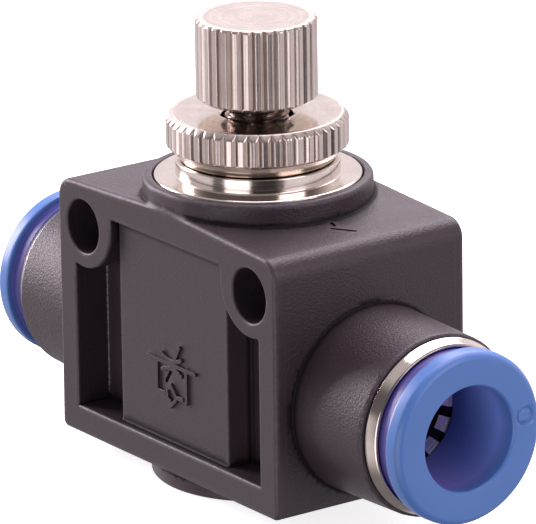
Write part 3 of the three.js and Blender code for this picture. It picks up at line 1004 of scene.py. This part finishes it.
def blue_plastic():
    """Blue plastic with a little subsurface scattering: its hub is painted a darker violet as painted shade,
    and its bore runs from violet painted shade at the front to lighter blue painted light at the back.
    """
    n = Nodes("blue_plastic")
    dark, light = (0.064, 0.175, 0.47), (0.082, 0.205, 0.53)
    hub_painted_shade, bore_painted_shade, bore_painted_light = (0.052, 0.024, 0.20), (0.34, 0.19, 0.60), (0.20, 0.34, 0.80)
    x, y, z = n.axes()
    radius = n.radius(n.math("SUBTRACT", z, PORT * MM), y)
    along = n.math("ABSOLUTE", x)
    cloud = n.noise(0.25, 3, 0.5)
    grain = n.noise(11.0, 2, 0.5)
    base = n.blend(cloud, dark, light)
    # Painted shade: the hub behind the flange's face is darkened to violet.
    behind_face = n.remap(along, 0.0262, 0.0248, 0.0, 1.0)
    in_hub = n.remap(radius, 0.0066, 0.0063, 0.0, 1.0)
    base = n.blend(n.math("MULTIPLY", behind_face, in_hub), base, hub_painted_shade)
    # Painted light and shade in the bore: violet on its shaded side, lighter blue on its lit side.
    in_bore = n.remap(radius, 0.0046, 0.0043, 0.0, 1.0)
    past_mouth = n.remap(along, 0.0262, 0.0250, 0.0, 1.0)
    lit = n.remap(y, -0.003, 0.004, 0.0, 1.0)
    bore_painted_light_and_shade = n.blend(lit, bore_painted_shade, bore_painted_light)
    base = n.blend(n.math("MULTIPLY", in_bore, past_mouth), base, bore_painted_light_and_shade)
    base = n.blend(n.math("MULTIPLY", n.attribute("edge"), 0.25), base, (0.12, 0.24, 0.62))
    roughness = n.remap(grain, 0.3, 0.7, 0.30, 0.40)
    normal = n.bump(grain, 1.5, n.bump(n.noise(0.5, 2, 0.5), 8))
    return n.finish(base, roughness, normal, Subsurface_Weight=0.08, Subsurface_Scale=0.001)


def plain_polymer(name, dark, light, low, high, micron):
    n = Nodes(name)
    cloud = n.noise(0.8, 3, 0.5)
    grain = n.noise(8.0, 3, 0.6)
    worn = tuple(1.6 * c for c in light)
    base = n.blend(cloud, dark, light)
    base = n.blend(n.math("MULTIPLY", n.attribute("edge"), 0.2), base, worn)
    return n.finish(base, n.remap(grain, 0.3, 0.7, low, high), n.bump(grain, micron))


NICKEL = ((0.62, 0.555, 0.495), (0.79, 0.73, 0.665))
# The needle's nickel: its colour darkened as painted shade for its place between nut and knob.
NICKEL_PAINTED_SHADE = ((0.16, 0.13, 0.12), (0.27, 0.22, 0.20))
STAINLESS = ((0.62, 0.62, 0.62), (0.78, 0.78, 0.77))
BRASS = ((0.66, 0.47, 0.22), (0.78, 0.6, 0.32))
ACETAL = ((0.020, 0.019, 0.022), (0.03, 0.029, 0.032))
NITRILE = ((0.012, 0.012, 0.012), (0.02, 0.02, 0.021))

materials = {
    "black_plastic": black_plastic(),
    "nickel_z": turned_metal("nickel_turned_upright", *NICKEL, "z", 0.10, 0.17),
    "nickel_x": turned_metal("nickel_turned_level", *NICKEL, "x", 0.10, 0.17),
    "blue_plastic": blue_plastic(),
    "stainless": turned_metal("stainless_strip", *STAINLESS, "x", 0.18, 0.3),
    "knob_nickel": turned_metal("knob_nickel", *NICKEL, "z", 0.16, 0.22, 0.6, 3.0, 4.2),
    "nut_nickel": turned_metal("nut_nickel", *NICKEL, "z", 0.11, 0.17, 0.8, 3.0, 6.5),
    # The needle's metal is rougher, and its darker colour is painted shade.
    "needle_metal": turned_metal("needle_nickel_painted_shade", *NICKEL_PAINTED_SHADE, "z", 0.22, 0.32),
    "brass": turned_metal("brass_turned", *BRASS, "z", 0.2, 0.32),
    "acetal": plain_polymer("acetal", *ACETAL, 0.38, 0.5, 3),
    "nitrile": plain_polymer("nitrile", *NITRILE, 0.55, 0.7, 6),
}


# ---- the pieces in their places ----
def place(piece, name, node, body, slot, finish):
    piece.name = name
    piece.data.name = name
    piece.data.materials.clear()
    piece.data.materials.append(materials[finish])
    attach(piece, body)
    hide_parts(node)
    return piece


place(build_body(), "moulded_body", "body", "housing", "black_plastic", "black_plastic")
place(build_bonnet(), "bonnet_turned", "bonnet", "housing", "nickel_plate", "nickel_z")
place(build_nut(), "nut_knurled", "lock_nut", "nut", "nickel_plate", "nut_nickel")
place(build_knob(), "knob_knurled", "knob", "spindle", "nickel_plate", "knob_nickel")
place(build_needle(), "needle_threaded", "needle", "spindle", "needle_metal", "needle_metal")
bonnet_ring = build_o_ring("bonnet_oring", 4.95, 6.15, PORT + 8.2)
place(bonnet_ring, "bonnet_oring", "bonnet_seal", "housing", "nitrile", "nitrile")
needle_ring = build_o_ring("needle_oring", 2.35, 3.18, PORT + 6.75)
place(needle_ring, "needle_oring", "needle_seal", "needle_lift", "nitrile", "nitrile")
place(build_seat(), "seat_turned", "valve_seat", "housing", "brass", "brass")
place(build_check_seal(), "check_lip", "check_seal", "housing", "nitrile", "nitrile")

PORT_PIECES = [
    (build_guide, "guide_turned", "guide_sleeve", "housing", "nickel_plate", "nickel_x"),
    (build_release, "release_moulded", "release_ring", None, "blue_plastic", "blue_plastic"),
    (build_grip, "grip_teeth", "grip_ring", "housing", "stainless", "stainless"),
    (build_collet, "collet_moulded", "collet_ring", "housing", "acetal", "acetal"),
    (build_tube_seal, "tube_packing", "tube_seal", "housing", "nitrile", "nitrile"),
]
for prefix, side in (("right_", 1), ("left_", -1)):
    for build, name, node, body, slot, finish in PORT_PIECES:
        body = body or prefix + "release"
        place(build(side), prefix + name, prefix + node, body, slot, finish)

# ---- floor, light and camera ----
def direction(azimuth, elevation):
    """A unit vector towards a compass direction; azimuth 0 is in front (-Y) and 90 is to the right (+X)."""
    a, e = math.radians(azimuth), math.radians(elevation)
    return Vector((math.sin(a) * math.cos(e), -math.cos(a) * math.cos(e), math.sin(e)))


CAMERA_AZIMUTH = 54.522
CAMERA_ELEVATION = 17.741
CAMERA_ROLL = math.radians(-0.805)
CAMERA_DISTANCE = 551.03
CAMERA_RIGHT = 0.567
CAMERA_UP = 6.805
SENSOR_WIDTH = 36
LENS = 478.545
CENTRE = Vector((0, 0, 0.018))  # what the lights point at
BACK = direction(CAMERA_AZIMUTH, CAMERA_ELEVATION)
LEVEL = direction(CAMERA_AZIMUTH + 90, 0)
UP = BACK.cross(LEVEL)


def add_camera():
    right = math.cos(CAMERA_ROLL) * LEVEL + math.sin(CAMERA_ROLL) * UP
    up = -math.sin(CAMERA_ROLL) * LEVEL + math.cos(CAMERA_ROLL) * UP
    place_mm = BACK * CAMERA_DISTANCE + right * CAMERA_RIGHT + up * CAMERA_UP + Vector((0, 0, PORT))
    data = bpy.data.cameras.new("camera")
    data.sensor_fit = "HORIZONTAL"
    data.sensor_width = SENSOR_WIDTH
    data.lens = LENS
    data.clip_start = 0.01
    camera = bpy.data.objects.new("camera", data)
    axes = Matrix((right, up, BACK)).transposed()
    camera.matrix_world = Matrix.Translation(place_mm * MM) @ axes.to_4x4()
    bpy.context.scene.collection.objects.link(camera)
    bpy.context.scene.camera = camera


LIGHT_DISTANCE = 0.8
LIGHT_TINT = (1.0, 0.885, 0.965)
LIGHTS = [  # name, azimuth, elevation, width, height and watts
    ("left", -67, 18, 0.28, 0.5, 6.2),
    ("right", 105, 22, 0.5, 0.4, 2.2),
    ("top", 200, 75, 0.5, 0.5, 4.6),
    ("back", 215, 44, 0.7, 0.4, 4.0),
]


def add_light(name, azimuth, elevation, width, height, watts):
    data = bpy.data.lights.new(name, "AREA")
    data.shape = "RECTANGLE"
    data.size, data.size_y = width, height
    data.energy = watts
    data.color = LIGHT_TINT
    light = bpy.data.objects.new(name, data)
    towards = direction(azimuth, elevation)
    light.location = CENTRE + towards * LIGHT_DISTANCE
    light.rotation_euler = towards.to_track_quat("Z", "Y").to_euler()
    bpy.context.scene.collection.objects.link(light)


def add_floor():
    """White paper that only the camera sees; it lies a hair under the foot so that the two don't coincide."""
    mesh = bpy.data.meshes.new("floor")
    rings, segments, height = [0.2, 0.8, 3.0], 48, -0.00002
    verts = [(0, 0, height)]
    for radius in rings:
        for i in range(segments):
            angle = i * TAU / segments
            verts.append((radius * math.cos(angle), radius * math.sin(angle), height))
    faces = [(0, 1 + i, 1 + (i + 1) % segments) for i in range(segments)]
    for ring in range(len(rings) - 1):
        start = 1 + ring * segments
        for i in range(segments):
            k = (i + 1) % segments
            faces.append((start + i, start + segments + i, start + segments + k, start + k))
    mesh.from_pydata(verts, [], faces)
    floor = new_object("floor", mesh)
    n = Nodes("floor_paper")
    cloud = n.noise(0.02, 3, 0.5)
    base = n.blend(cloud, (0.90, 0.90, 0.90), (0.93, 0.93, 0.93))
    n.finish(base, 0.9, n.bump(n.noise(2.0, 3, 0.5), 10), Specular_IOR_Level=0.1)
    n.shader.inputs["Emission Color"].default_value = (1, 1, 1, 1)
    n.shader.inputs["Emission Strength"].default_value = 0.8
    mesh.materials.append(n.material)
    floor.visible_diffuse = False
    floor.visible_glossy = False
    floor.visible_shadow = False


# Panels of the studio round the object: where each starts and ends, by bearing from the camera in
# degrees, positive to its right, and how bright it is.
PANELS = [(-46, -12, 2.6), (-10, 26, 0.04), (36, 118, 0.95), (-118, -65, 0.85)]
GAP = 0.16  # brightness between the panels
BACKDROP = 1.02  # behind the object
CEILING = 0.6
FRONT = 0.14  # above the panels, on the camera's side
NADIR = 0.22  # below
STUDIO_TINT = (1.0, 0.905, 0.96)


def add_world():
    """A studio of soft panels with a bright backdrop behind the object."""
    world = bpy.data.worlds.new("studio")
    bpy.context.scene.world = world
    world.use_nodes = True
    tree = world.node_tree
    place = tree.nodes.new("ShaderNodeTexCoord").outputs["Generated"]

    def calc(operation, a, b=0.0, clamp=False):
        node = tree.nodes.new("ShaderNodeMath")
        node.operation, node.use_clamp = operation, clamp
        for value, socket in ((a, node.inputs[0]), (b, node.inputs[1])):
            if isinstance(value, bpy.types.NodeSocket):
                tree.links.new(value, socket)
            else:
                socket.default_value = value
        return node.outputs[0]

    def along(vector):
        node = tree.nodes.new("ShaderNodeVectorMath")
        node.operation = "DOT_PRODUCT"
        tree.links.new(place, node.inputs[0])
        node.inputs[1].default_value = vector
        return node.outputs["Value"]

    def step(value, low, high):
        node = tree.nodes.new("ShaderNodeMapRange")
        node.interpolation_type = "SMOOTHSTEP"
        tree.links.new(value, node.inputs["Value"])
        node.inputs["From Min"].default_value = low
        node.inputs["From Max"].default_value = high
        return node.outputs["Result"]

    def mix(share, a, b):
        return calc("ADD", calc("MULTIPLY", a, calc("SUBTRACT", 1, share)), calc("MULTIPLY", b, share))

    ahead = along(direction(CAMERA_AZIMUTH, 0))
    bearing = calc("MULTIPLY", calc("ARCTAN2", along(LEVEL), ahead), math.degrees(1))
    height = along((0, 0, 1))
    behind = step(calc("ABSOLUTE", bearing), 112, 126)
    low = calc("ADD", GAP, calc("MULTIPLY", behind, BACKDROP - GAP))
    for start, end, level in PANELS:
        past_start = step(bearing, start - 2, start + 2)
        before_end = calc("SUBTRACT", 1, step(bearing, end - 2, end + 2))
        inside = calc("MULTIPLY", past_start, before_end)
        low = calc("ADD", low, calc("MULTIPLY", inside, level - GAP))
    low = mix(step(height, -0.8, -0.45), NADIR, low)
    high = mix(step(calc("ABSOLUTE", bearing), 80, 130), FRONT, BACKDROP)
    high = mix(step(height, 0.6, 0.85), high, CEILING)
    level = mix(step(height, 0.12, 0.3), low, high)
    shade = tree.nodes["Background"]
    shade.inputs["Color"].default_value = (*STUDIO_TINT, 1)
    tree.links.new(level, shade.inputs["Strength"])


add_camera()
add_floor()
add_world()
for light in LIGHTS:
    add_light(*light)

scene = bpy.context.scene
scene.view_settings.view_transform = "Standard"
scene.view_settings.look = "None"
scene.cycles.use_denoising = True
